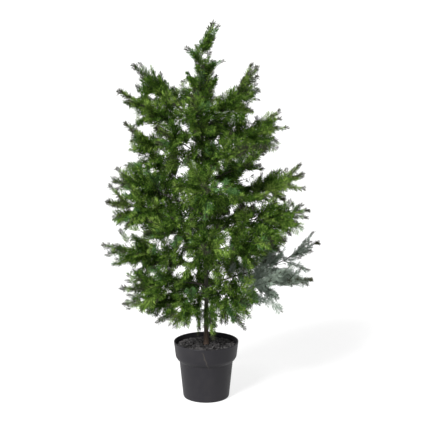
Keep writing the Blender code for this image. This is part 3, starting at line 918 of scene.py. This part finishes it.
def needlePiece(name, gathered):
    # Each needle is a folded kite: root, tip and two edges that stand a little proud
    centre, ahead, outward, long = [np.concatenate(part) for part in zip(*gathered)]
    across = np.cross(ahead, outward)
    waist = centre + ahead * (needles["widest"] * long)[:, None] + outward * needles["keel"]
    half = across * (needles["width"] / 2 * long / needles["length"])[:, None]
    tips = centre + ahead * long[:, None]
    points = np.stack([centre, waist - half, waist + half, tips], axis=1).reshape(-1, 3)
    kite = np.array([(0, 2, 1), (0, 1, 3), (1, 2, 3), (0, 3, 2)])
    faces = (np.arange(len(centre))[:, None, None] * 4 + kite[None]).reshape(-1, 3)
    return joinedMesh(name, points, faces, False)


def twigPiece(name, twigs):
    # Three-sided tapering twigs, closed at both ends
    points = []
    faces = []
    count = 0
    for foot, start, end, length, face, radius, tipRadius, rings in twigs:
        t = np.linspace(0, 0.97, rings + 1)[:, None]
        line = foot + length * (start * t + (end - start) * t * t / 2)
        across = unit(np.cross(start, face))
        up = np.cross(across, start)
        for k in range(rings):
            r = mix(radius, tipRadius, k / rings)
            for j in range(3):
                a = 2.0944 * j + 0.5    # a third of a turn each
                points.append(line[k] + r * (across * math.cos(a) + up * math.sin(a)))
        points.append(line[-1])
        for k in range(rings - 1):
            for j in range(3):
                a, b = count + 3 * k + j, count + 3 * k + (j + 1) % 3
                faces += [(a, b, b + 3), (a, b + 3, a + 3)]
        last = count + 3 * (rings - 1)
        tip = last + 3
        faces += [(last, last + 1, tip), (last + 1, last + 2, tip), (last + 2, last, tip)]
        faces.append((count + 2, count + 1, count))
        count = tip + 1
    return joinedMesh(name, np.array(points), np.array(faces), True)


# Round limbs, pushed out ring by ring

def sweep(bm, centres, normals, radii, sides):
    made = bmesh.ops.create_circle(bm, cap_ends=False, radius=1.0, segments=sides)
    ring = made["verts"]
    edges = list({edge for v in ring for edge in v.link_edges})
    turns = [math.atan2(v.co.y, v.co.x) for v in ring]
    side = sprayFrame(normals[0], 0.0)[0]
    first = edges
    for row, (centre, normal, radius) in enumerate(zip(centres, normals, radii)):
        side = unit(side - normal * np.dot(side, normal))
        other = np.cross(normal, side)
        if row:
            out = bmesh.ops.extrude_edge_only(bm, edges=edges)["geom"]
            fresh = {g for g in out if isinstance(g, bmesh.types.BMVert)}
            edges = [g for g in out if isinstance(g, bmesh.types.BMEdge) and set(g.verts) <= fresh]
            ring = [next(end for end in (e.other_vert(v) for e in v.link_edges) if end in fresh)
                    for v in ring]
        for v, turn in zip(ring, turns):
            v.co = Vector(centre + radius * (side * math.cos(turn) + other * math.sin(turn)))
    bmesh.ops.holes_fill(bm, edges=first + edges, sides=sides)


def pushOut(bm, depth):
    # moves every corner along its normal, by a depth worked out before any of them moves
    bm.normal_update()
    for v, far in [(v, depth(v)) for v in bm.verts]:
        v.co += v.normal * far


def finishedObject(name, bm, smooth=True):
    bmesh.ops.recalc_face_normals(bm, faces=bm.faces)
    mesh = bpy.data.meshes.new(name)
    for face in bm.faces:
        face.smooth = smooth
    bm.to_mesh(mesh)
    bm.free()
    return put(name, mesh)


def barkDepth(v):
    x, y, z = v.co
    turned = v.normal
    long = noise.fractal(Vector((turned.x * 2.6, turned.y * 2.6, z * 42)), 0.9, 2.1, 4)
    flake = noise.noise(Vector((x * 900, y * 900, z * 260)))
    knuckle = noise.noise(Vector((turned.x * 0.8, turned.y * 0.8, z * 30 + 9)))
    thick = trunkRadius(max(z, trunk["foot"])) / trunk["footRadius"]
    return (trunk["furrow"] * long + trunk["flake"] * flake + trunk["knuckle"] * knuckle) * thick


def buildTrunk():
    bm = bmesh.new()
    heights = np.linspace(trunk["foot"] - 0.003, trunk["top"] + 0.001, trunk["rings"])
    centres = [trunkCentre(z) for z in heights]
    normals = [unit(trunkCentre(z + 0.002) - trunkCentre(z - 0.002)) for z in heights]
    radii = [trunk["bare"] * trunkRadius(max(z, trunk["foot"])) for z in heights]
    sweep(bm, centres, normals, radii, trunk["sides"])
    pushOut(bm, barkDepth)
    return finishedObject("trunk_wood", bm)


def buildBoughs(crown, stems):
    bm = bmesh.new()
    stemRadius = boughs["stemRadius"]
    for name, rootHeight, *_, bare, _seed in limbs:
        axis = crown.axes[name]
        reach = axisLength(axis)
        endShare = stems[name] + boughs["pastEnd"] / reach
        count = max(12, int(endShare * reach / boughs["step"]))
        thick = stemRadius[0]
        if bare:
            thick = mix(*boughs["radius"], max(0.0, min(1.0, trunkShare(rootHeight))))
        centres = []
        normals = []
        radii = []
        for k in range(count + 1):
            share = endShare * k / count
            point, ahead = alongAxis(axis, share)
            radius = mix(thick, stemRadius[0], min(1.0, share / max(bare, 0.01)))
            if share > bare:
                radius = mix(*stemRadius, (share - bare) / (endShare - bare))
            if rootHeight < trunk["top"]:
                radius += boughs["collar"] * math.exp(-share * reach / boughs["collarReach"])
                if k == 0:
                    point = point - ahead * boughs["sunk"]
            centres.append(point)
            normals.append(ahead)
            radii.append(radius)
        sweep(bm, centres, normals, radii, boughs["sides"])
    pushOut(bm, lambda v: boughs["relief"] * noise.fractal(v.co * 420, 0.8, 2.2, 3))
    return finishedObject("boughs", bm)


# Pot

pot = {
    "height": 0.143,
    "rim": 0.0800,
    "lip": 0.0026,
    "bandHeight": 0.0370,
    "bandFoot": 0.0757,
    "shoulder": 0.0120,
    "bodyTop": 0.0665,
    "base": 0.0573,
    "wall": 0.0018,
    "floor": 0.0030,
    "recess": 0.0009,       # hollow under the base, inside its foot ring
    "round": 0.00042,
    "wave": 0.00042,        # the rim is not quite true
    "oval": 0.0035,
    "segments": 144,
}
pot["shoulderTop"] = pot["height"] - pot["bandHeight"]
pot["shoulderFoot"] = pot["shoulderTop"] - pot["shoulder"]


def spun(profile, steps):
    # A solid of revolution from a line of radius and height
    bm = bmesh.new()
    line = [bm.verts.new((radius, 0.0, z)) for radius, z in profile]
    edges = [bm.edges.new(pair) for pair in zip(line, line[1:])]
    bmesh.ops.spin(bm, geom=line + edges, axis=(0, 0, 1), cent=(0, 0, 0), angle=2 * math.pi,
                   steps=steps, use_merge=True)
    bmesh.ops.remove_doubles(bm, verts=bm.verts, dist=0.00001)
    return bm


def buildPot():
    top, foot = pot["shoulderTop"], pot["shoulderFoot"]
    rim, body, band, base = pot["rim"], pot["bodyTop"], pot["bandFoot"], pot["base"]
    height, wall, inside = pot["height"], pot["wall"], pot["rim"] - pot["lip"]
    profile = [
        (0.0, pot["recess"]),               # underside and foot ring
        (base - 0.0085, pot["recess"]),
        (base - 0.0078, 0.0),
        (base - 0.0036, 0.0),
        (base - 0.0012, 0.0012),
        (base, 0.0042),
        (body - 0.0003, foot - 0.0020),     # body and shoulder
        (body + 0.0002, foot),
        (mix(body, band, 0.55), foot + 0.36 * pot["shoulder"]),
        (band - 0.0008, top - 0.0022),
        (band, top),                        # band and lip
        (rim - 0.0003, height - 0.0034),
        (rim, height - 0.0026),
        (rim, height - 0.0006),
        (rim - 0.0006, height),
        (inside, height),
        (inside - 0.0004, height - 0.0010),
        (band - wall, top),                 # inside
        (body - wall, foot),
        (base - wall, pot["floor"]),
        (0.0, pot["floor"]),
    ]
    bm = spun(profile, pot["segments"])
    corners = []
    for edge in bm.edges:
        a, b = [v.co for v in edge.verts]
        level = abs(a.z - b.z) < 0.00001 and abs(a.xy.length - b.xy.length) < 0.00001
        if level and len(edge.link_faces) == 2 and edge.calc_face_angle(0.0) > math.radians(16):
            corners.append(edge)
    bmesh.ops.bevel(bm, geom=corners, offset=pot["round"], offset_type="OFFSET", affect="EDGES",
                    segments=2, profile=0.5, material=-1, clamp_overlap=True)
    long = [e for e in bm.edges if abs(e.verts[0].co.z - e.verts[1].co.z) > 0.012]
    bmesh.ops.subdivide_edges(bm, edges=long, cuts=14)
    for v in bm.verts:
        turn = math.atan2(v.co.y, v.co.x)
        high = max(0.0, min(1.0, (v.co.z - 0.09) / 0.05))
        wave = math.sin(2 * turn + 0.6) * 0.6 + math.sin(3 * turn + 2.1) * 0.4
        v.co.z += pot["wave"] * high**3 * (wave - 0.9)
        v.co.x *= 1 + pot["oval"] * high * math.sin(2 * turn)
        v.co.y *= 1 + pot["oval"] * high * math.sin(2 * turn)
    return finishedObject("pot_shell", bm)


# Fill

fill = {
    "edgeHeight": 0.1300,
    "topHeight": 0.1345,
    "wallGap": 0.0006,
    "floorGap": 0.0004,
    "wallHeights": (0.094, 0.106),
    "rings": 26,
    "segments": 120,
    "lump": 0.0009,
    "grit": 0.0007,
    "chips": 640,
    "chipsTo": 0.0742,      # from the pot's axis
    "chipHeight": 0.133,
    "trunkRoom": 0.0085,
    "longest": 0.0062,
    "seed": 5,
}


def insideRadius(z):
    heights = (pot["floor"], pot["shoulderFoot"], pot["shoulderTop"], pot["height"])
    radii = (pot["base"] - pot["wall"], pot["bodyTop"] - pot["wall"],
             pot["bandFoot"] - pot["wall"], pot["rim"] - pot["lip"] - 0.0004)
    return float(np.interp(z, heights, radii))


def moundHeight(x, y):
    edge = insideRadius(fill["edgeHeight"])
    out = min(1.0, math.hypot(x, y) / edge)
    rough = noise.fractal(Vector((x * 70, y * 70, 3.0)), 0.8, 2.0, 3)
    return mix(fill["topHeight"], fill["edgeHeight"], out**1.6) + fill["lump"] * rough


def buildFill():
    gap, rings, top = fill["wallGap"], fill["rings"], fill["edgeHeight"]
    floor = pot["floor"] + fill["floorGap"]
    edge = insideRadius(top) - gap
    profile = [(0.0, floor), (insideRadius(pot["floor"]) - gap, floor)]
    profile += [(insideRadius(z) - gap, z) for z in fill["wallHeights"]]
    profile += [(edge * (1 - k / rings), top) for k in range(rings + 1)]
    bm = spun(profile, fill["segments"])
    for v in bm.verts:
        if v.co.z > top - 0.0001:
            v.co.z = moundHeight(v.co.x, v.co.y) + fill["grit"] * noise.noise(v.co * 420)
    return finishedObject("pot_fill_bed", bm)


def buildChips():
    # Broken chips lying on the bed, none outside the pot
    rng = random.Random(fill["seed"])
    bm = bmesh.new()
    most = insideRadius(fill["chipHeight"]) - fill["wallGap"]
    placed = 0
    while placed < fill["chips"]:
        far = math.sqrt(rng.random()) * fill["chipsTo"]
        turn = rng.uniform(0, 2 * math.pi)
        x, y = far * math.cos(turn), far * math.sin(turn)
        half = fill["longest"] * rng.uniform(0.38, 1.0)
        if math.hypot(x, y) < fill["trunkRoom"] + half * 0.6 or far + half > most:
            continue
        sizes = half, half * rng.uniform(0.5, 0.85), half * rng.uniform(0.3, 0.55), 1
        twist = Matrix.Rotation(rng.uniform(0, 6.28), 4, "Z")
        tilt = rng.gauss(0, 0.35)
        lean = Matrix.Rotation(tilt, 4, (rng.uniform(-1, 1), rng.uniform(-1, 1), 0.01))
        spot = Matrix.Translation((x, y, moundHeight(x, y) + half * rng.uniform(0.05, 0.35)))
        made = bmesh.ops.create_icosphere(bm, subdivisions=1, radius=1.0,
                                          matrix=spot @ lean @ twist @ Matrix.Diagonal(sizes))
        for v in made["verts"]:
            v.co += Vector([rng.uniform(-0.16, 0.16) * half for _ in range(3)])
        placed += 1
    return finishedObject("pot_fill_chips", bm, False)


# Shader maths

class Wire:
    # a socket that can stand in a sum
    def __init__(self, finish, socket):
        self.finish = finish
        self.socket = socket

    def sum(self, operation, a, b):
        return self.finish.add("ShaderNodeMath", {"operation": operation}, {0: a, 1: b})

    def __add__(self, other):
        return self.sum("ADD", self, other)

    def __sub__(self, other):
        return self.sum("SUBTRACT", self, other)

    def __rsub__(self, other):
        return self.sum("SUBTRACT", other, self)

    def __mul__(self, other):
        return self.sum("MULTIPLY", self, other)

    __radd__ = __add__
    __rmul__ = __mul__


class Finish:
    # one material and what feeds its shader
    def __init__(self, name, **fixed):
        self.material = bpy.data.materials.new(name)
        self.material.use_nodes = True
        self.nodes = self.material.node_tree.nodes
        self.links = self.material.node_tree.links
        self.shader = self.nodes["Principled BSDF"]
        for socket, value in fixed.items():
            self.shader.inputs[socket.replace("_", " ")].default_value = value
        self.place = self.add("ShaderNodeTexCoord", {}, {}, "Object")

    def add(self, kind, settings, values, output=0):
        node = self.nodes.new(kind)
        for name, value in settings.items():
            if name == "stops":
                for stop, (at, grey) in zip(node.color_ramp.elements, value):
                    stop.position = at
                    stop.color = (grey, grey, grey, 1)
            else:
                setattr(node, name, value)
        for name, value in values.items():
            self.feed(node.inputs[name], value)
        return Wire(self, node.outputs[output])

    def feed(self, socket, value):
        if isinstance(value, Wire):
            self.links.new(value.socket, socket)
        else:
            socket.default_value = value

    def stretched(self, x, y, z):
        return self.add("ShaderNodeMapping", {}, {"Vector": self.place, "Scale": (x, y, z)})

    def cloud(self, scale, detail=3.0, place=None, rough=0.55):
        return self.add("ShaderNodeTexNoise", {}, {"Vector": place or self.place, "Scale": scale,
                                                   "Detail": detail, "Roughness": rough})

    def ramp(self, factor, low, high):
        return self.add("ShaderNodeValToRGB", {"stops": ((low, 0.0), (high, 1.0))}, {0: factor})

    def blend(self, factor, a, b):
        values = {0: factor}
        for socket, value in ((6, a), (7, b)):
            values[socket] = value if isinstance(value, Wire) else (*value, 1.0)
        return self.add("ShaderNodeMix", {"data_type": "RGBA"}, values, 2)

    def wear(self, colour, roughness, height=None, strength=0.5, distance=0.001):
        self.feed(self.shader.inputs["Base Color"], colour)
        self.feed(self.shader.inputs["Roughness"], roughness)
        if height:
            bump = self.add("ShaderNodeBump", {}, {"Height": height, "Strength": strength,
                                                   "Distance": distance})
            self.feed(self.shader.inputs["Normal"], bump)
        return self.material


def needleFinish(name, low, high):
    look = Finish(name, Specular_IOR_Level=0.03)
    patch = look.ramp(look.cloud(26.0, 2.0), 0.36, 0.66)
    fine = look.ramp(look.cloud(480.0, 1.0), 0.40, 0.62)
    colour = look.blend(patch * 0.25 + fine * 0.75, low, high)
    return look.wear(colour, look.cloud(60.0, 1.0) * 0.16 + 0.48)


def barkFinish():
    look = Finish("trunk_bark", Specular_IOR_Level=0.30)
    streak = look.cloud(1.0, 4.0, look.stretched(520, 520, 60), 0.6)
    flake = look.cloud(1.0, 3.0, look.stretched(900, 900, 260))
    height = look.add("ShaderNodeSeparateXYZ", {}, {0: look.place}, "Z")
    foot = look.ramp(height + (look.cloud(38.0, 2.0) - 0.5) * 0.05, 0.155, 0.215)
    brown = look.blend(look.ramp(streak, 0.35, 0.68), (0.018, 0.011, 0.007), (0.092, 0.062, 0.044))
    grey = look.blend(look.ramp(streak, 0.32, 0.70), (0.011, 0.011, 0.007), (0.054, 0.053, 0.034))
    colour = look.blend(foot, brown, grey)
    pale = look.ramp(flake, 0.62, 0.74)
    colour = look.blend(pale * 0.3, colour, (0.12, 0.10, 0.075))
    return look.wear(colour, flake * 0.25 + 0.62, streak * 0.7 + flake * 0.3, 0.6, 0.0006)


def boughFinish(name, dark, light):
    look = Finish(name, Specular_IOR_Level=0.30)
    streak = look.cloud(420.0, 3.0)
    colour = look.blend(look.ramp(streak, 0.34, 0.68), dark, light)
    patch = look.ramp(look.cloud(45.0, 2.0), 0.52, 0.66)
    colour = look.blend(patch * 0.5, colour, (0.034, 0.046, 0.016))
    return look.wear(colour, streak * 0.2 + 0.62, streak, 0.5, 0.0004)


def potFinish():
    look = Finish("pot_plastic", Specular_IOR_Level=0.22)
    cloudy = look.cloud(13.0, 3.0)
    grain = look.cloud(950.0, 2.0)
    drawn = look.cloud(1.0, 3.0, look.stretched(60, 60, 4))
    dust = look.ramp(look.cloud(55.0, 4.0) * 0.7 + drawn * 0.3, 0.50, 0.78)
    dark, light = (0.0088, 0.0082, 0.0104), (0.0124, 0.0116, 0.0140)
    colour = look.blend(look.ramp(cloudy, 0.35, 0.65), dark, light)
    colour = look.blend(dust * 0.18, colour, (0.034, 0.031, 0.028))
    x, y, z = [look.add("ShaderNodeSeparateXYZ", {}, {0: look.place}, k) for k in range(3)]
    # a faint slanting scuff on the front
    aside = x + 0.0075 - (0.136 - z) * 0.287 + (look.cloud(70.0, 2.0) - 0.5) * 0.009
    aside = look.add("ShaderNodeMath", {"operation": "ABSOLUTE"}, {0: aside * 100})
    scuff = (1 - look.ramp(aside, 0.05, 0.20)) * look.ramp(z * 5, 0.44, 0.48)
    scuff = scuff * (1 - look.ramp(z * 5, 0.66, 0.69))
    scuff = scuff * (1 - look.ramp(y + 0.5, 0.45, 0.47))
    colour = look.blend(scuff * 0.55, colour, (0.046, 0.040, 0.033))
    rough = cloudy * 0.14 + dust * 0.16 + grain * 0.05 + 0.42
    return look.wear(colour, rough, grain * 0.5 + drawn * 0.5, 0.10, 0.0004)


def chipFinish(name, dark, light):
    look = Finish(name, Specular_IOR_Level=0.25)
    lump = look.add("ShaderNodeTexVoronoi", {"feature": "F1"},
                    {"Vector": look.place, "Scale": 150.0}, "Color")
    pick = look.add("ShaderNodeSeparateColor", {}, {0: lump}, 0)
    grain = look.cloud(600.0, 4.0)
    colour = look.blend(look.ramp(pick * 0.6 + grain * 0.5, 0.25, 0.95), dark, light)
    return look.wear(colour, grain * 0.2 + 0.72, grain, 0.7, 0.0008)


def wearOn(piece, material, slot, *nodes):
    piece.data.materials.clear()
    piece.data.materials.append(material)
    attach(piece, "root")
    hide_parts(*nodes)


# Everything together

crown, foliage, stems = growFoliage()
massNodes = ["foliage_" + name for name, *_ in limbs]
boughNodes = ["bough_" + name for name, *_, bare, _seed in limbs if bare]
slots = {"deep": "needles_deep", "shade": "needles_deep", "bright": "needles_bright",
         "grey": "needles_grey"}
mostTriangles = 190000      # in one piece
trianglesEach = 4           # on a needle
for colour, gathered in sorted(foliage.needles.items()):
    material = needleFinish("needles_" + colour, *greens[colour])
    count = sum(len(part[3]) for part in gathered)
    pieces = math.ceil(count * trianglesEach / mostTriangles)
    share = math.ceil(len(gathered) / pieces)
    nodes = massNodes if colour != "grey" else ["foliage_right_low", "foliage_right_skirt"]
    for k in range(pieces):
        piece = needlePiece(f"needles_{colour}_{k + 1}", gathered[k * share:(k + 1) * share])
        wearOn(piece, material, slots.get(colour, "needles_mid"), *nodes)
print("needles done")

twigBark = boughFinish("twig_bark", (0.009, 0.010, 0.005), (0.034, 0.034, 0.018))
half = (len(foliage.twigs) + 1) // 2
for k in range(2):
    piece = twigPiece(f"twigs_{k + 1}", foliage.twigs[k * half:(k + 1) * half])
    wearOn(piece, twigBark, "bough_bark", *massNodes)
wearOn(buildTrunk(), barkFinish(), "trunk_bark", "trunk")
boughBark = boughFinish("bough_bark", (0.014, 0.013, 0.009), (0.058, 0.052, 0.037))
wearOn(buildBoughs(crown, stems), boughBark, "bough_bark", *boughNodes, *massNodes)
print("wood done")

wearOn(buildPot(), potFinish(), "pot_plastic", "pot")
# the bed between the chips is nearly black, painted shade for the gaps between them
bedChips = chipFinish("fill_bed", (0.002, 0.002, 0.002), (0.008, 0.007, 0.007))
wearOn(buildFill(), bedChips, "fill_chips", "pot_fill")
looseChips = chipFinish("fill_chips", (0.003, 0.003, 0.003), (0.066, 0.062, 0.062))
wearOn(buildChips(), looseChips, "fill_chips", "pot_fill")
print("pot done")

# Stage, light and camera

stage = {
    "sky": 0.64,
    "floor": 0.25,
    "glow": 0.76,           # of the floor itself, so that shadows stay faint
    "floorHalf": 60.0,
    "key": 6.5,
    "keySoft": 20.0,        # degrees across
    "keyFrom": (-1.7, -2.6, 2.5),
}

bm = bmesh.new()
bmesh.ops.create_grid(bm, x_segments=8, y_segments=8, size=stage["floorHalf"])
floor = finishedObject("floor", bm)
floorFinish = Finish("floor_paper", Specular_IOR_Level=0.1, Emission_Strength=stage["glow"],
                     Emission_Color=(1, 1, 1, 1))
shades = [(shade, shade, shade) for shade in (stage["floor"], stage["floor"] + 0.02)]
paper = floorFinish.blend(floorFinish.cloud(3.0), *shades)
floor.data.materials.append(floorFinish.wear(paper, 0.9))

world = bpy.data.worlds.new("studio")
bpy.context.scene.world = world
world.use_nodes = True
sky = world.node_tree.nodes["Background"].inputs
sky["Color"].default_value = (1, 1, 1, 1)
sky["Strength"].default_value = stage["sky"]

key = bpy.data.lights.new("key", "SUN")
key.energy = stage["key"]
key.angle = math.radians(stage["keySoft"])
keyLamp = put("key", key)
keyLamp.location = stage["keyFrom"]
keyLamp.rotation_euler = Vector(stage["keyFrom"]).to_track_quat("Z", "Y").to_euler()

camera = bpy.data.cameras.new("camera")
camera.lens = eye["lens"]
camera.sensor_width = 36
cameraStand = put("camera", camera)
cameraStand.location = (eye["across"], -eye["away"], eye["height"])
cameraStand.rotation_euler = (math.radians(90 - eye["down"]), 0, 0)
bpy.context.scene.camera = cameraStand
bpy.context.scene.view_settings.view_transform = "Standard"
